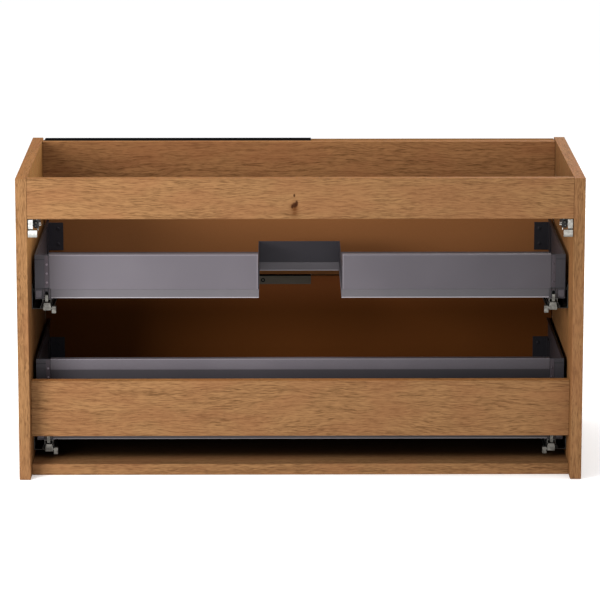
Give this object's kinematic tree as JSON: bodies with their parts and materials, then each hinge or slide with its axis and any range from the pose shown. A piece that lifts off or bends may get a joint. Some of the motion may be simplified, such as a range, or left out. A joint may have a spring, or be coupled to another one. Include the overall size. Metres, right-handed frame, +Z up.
{
  "type": "bathroom vanity cabinet",
  "caption": "Wall-hung bathroom vanity cabinet: an oak-look open-backed carcass with metal-sided drawers, one notched for the basin trap, and short black edge handles.",
  "frame": {"origin": "centre of the base, on the plane of the side panels' lower edges", "axes": "+Z up, +Y towards the wall, the drawer fronts face -Y, +X to the right as seen from the front"},
  "size_m": [1.01, 0.475, 0.5485],
  "materials": {
    "oak_board": "matt oak-grain laminate on chipboard",
    "drawer_steel": "satin grey powder coat",
    "floor_board": "matt grey laminate on chipboard",
    "handle_black": "black anodised, satin",
    "zinc_steel": "zinc plated",
    "hanger_plastic": "matt"
  },
  "bodies": {
    "cabinet": {"side_panel_left": "oak_board", "side_panel_right": "oak_board", "bottom_panel": "oak_board", "rear_top_rail": "oak_board", "rear_lower_rail": "oak_board", "front_top_rail": "oak_board", "hanger_left_housing": "hanger_plastic", "hanger_right_housing": "hanger_plastic", "upper_runner_left_cabinet_member": "zinc_steel", "upper_runner_left_rear_stop": "zinc_steel", "upper_runner_right_cabinet_member": "zinc_steel", "upper_runner_right_rear_stop": "zinc_steel", "lower_runner_left_cabinet_member": "zinc_steel", "lower_runner_left_rear_stop": "zinc_steel", "lower_runner_right_cabinet_member": "zinc_steel", "lower_runner_right_rear_stop": "zinc_steel"},
    "upper_drawer": {"upper_front": "oak_board", "upper_handle": "handle_black", "upper_drawer_floor": "floor_board", "upper_handle_screw_1": "zinc_steel", "upper_handle_screw_2": "zinc_steel", "upper_handle_screw_3": "zinc_steel", "upper_drawer_side_left": "drawer_steel", "upper_rear_bracket_left": "drawer_steel", "upper_front_bracket_left": "drawer_steel", "upper_runner_left_drawer_member": "zinc_steel", "upper_drawer_side_right": "drawer_steel", "upper_rear_bracket_right": "drawer_steel", "upper_front_bracket_right": "drawer_steel", "upper_runner_right_drawer_member": "zinc_steel", "upper_rear_wall_left": "drawer_steel", "upper_rear_wall_right": "drawer_steel", "trap_surround": "drawer_steel"},
    "lower_drawer": {"lower_front": "oak_board", "lower_handle": "handle_black", "lower_drawer_floor": "floor_board", "lower_handle_screw_1": "zinc_steel", "lower_handle_screw_2": "zinc_steel", "lower_handle_screw_3": "zinc_steel", "lower_drawer_side_left": "drawer_steel", "lower_rear_bracket_left": "drawer_steel", "lower_front_bracket_left": "drawer_steel", "lower_runner_left_drawer_member": "zinc_steel", "lower_drawer_side_right": "drawer_steel", "lower_rear_bracket_right": "drawer_steel", "lower_front_bracket_right": "drawer_steel", "lower_runner_right_drawer_member": "zinc_steel", "lower_rear_wall": "drawer_steel"},
    "upper_left_middle_member": {"upper_runner_left_middle_member": "zinc_steel"},
    "upper_right_middle_member": {"upper_runner_right_middle_member": "zinc_steel"},
    "lower_left_middle_member": {"lower_runner_left_middle_member": "zinc_steel"},
    "lower_right_middle_member": {"lower_runner_right_middle_member": "zinc_steel"},
    "left_hanger_hook": {"hanger_left_hook": "zinc_steel"},
    "left_height_screw": {"hanger_left_height_screw": "zinc_steel"},
    "right_hanger_hook": {"hanger_right_hook": "zinc_steel"},
    "right_height_screw": {"hanger_right_height_screw": "zinc_steel"}
  },
  "joints": [
    {"name": "upper_drawer_slide", "type": "slide", "parent": "cabinet", "child": "upper_drawer", "axis": [0, -1, 0], "range_m": [0, 0.35]},
    {"name": "lower_drawer_slide", "type": "slide", "parent": "cabinet", "child": "lower_drawer", "axis": [0, -1, 0], "range_m": [0, 0.35]},
    {"name": "upper_left_middle_slide", "type": "slide", "parent": "cabinet", "child": "upper_left_middle_member", "axis": [0, -1, 0], "range_m": [0, 0.175]},
    {"name": "upper_right_middle_slide", "type": "slide", "parent": "cabinet", "child": "upper_right_middle_member", "axis": [0, -1, 0], "range_m": [0, 0.175]},
    {"name": "lower_left_middle_slide", "type": "slide", "parent": "cabinet", "child": "lower_left_middle_member", "axis": [0, -1, 0], "range_m": [0, 0.175]},
    {"name": "lower_right_middle_slide", "type": "slide", "parent": "cabinet", "child": "lower_right_middle_member", "axis": [0, -1, 0], "range_m": [0, 0.175]},
    {"name": "left_screw_turn", "type": "hinge", "parent": "cabinet", "child": "left_height_screw", "pos_m": [-0.4702, 0.1625, 0.4665], "axis": [0, 1, 0], "range_deg": [-2890, 0]},
    {"name": "left_hook_height", "type": "slide", "parent": "cabinet", "child": "left_hanger_hook", "axis": [0, 0, 1], "range_m": [-0.008, 0]},
    {"name": "right_screw_turn", "type": "hinge", "parent": "cabinet", "child": "right_height_screw", "pos_m": [0.4702, 0.1625, 0.4665], "axis": [0, 1, 0], "range_deg": [-2890, 0]},
    {"name": "right_hook_height", "type": "slide", "parent": "cabinet", "child": "right_hanger_hook", "axis": [0, 0, 1], "range_m": [-0.008, 0]}
  ],
  "couplings": [
    {"joint": "upper_left_middle_slide", "follows": "upper_drawer_slide", "ratio": 0.5},
    {"joint": "upper_right_middle_slide", "follows": "upper_drawer_slide", "ratio": 0.5},
    {"joint": "lower_left_middle_slide", "follows": "lower_drawer_slide", "ratio": 0.5},
    {"joint": "lower_right_middle_slide", "follows": "lower_drawer_slide", "ratio": 0.5},
    {"joint": "left_screw_turn", "follows": "left_hook_height", "rad_per_m": 6283.2},
    {"joint": "right_screw_turn", "follows": "right_hook_height", "rad_per_m": 6283.2}
  ]
}
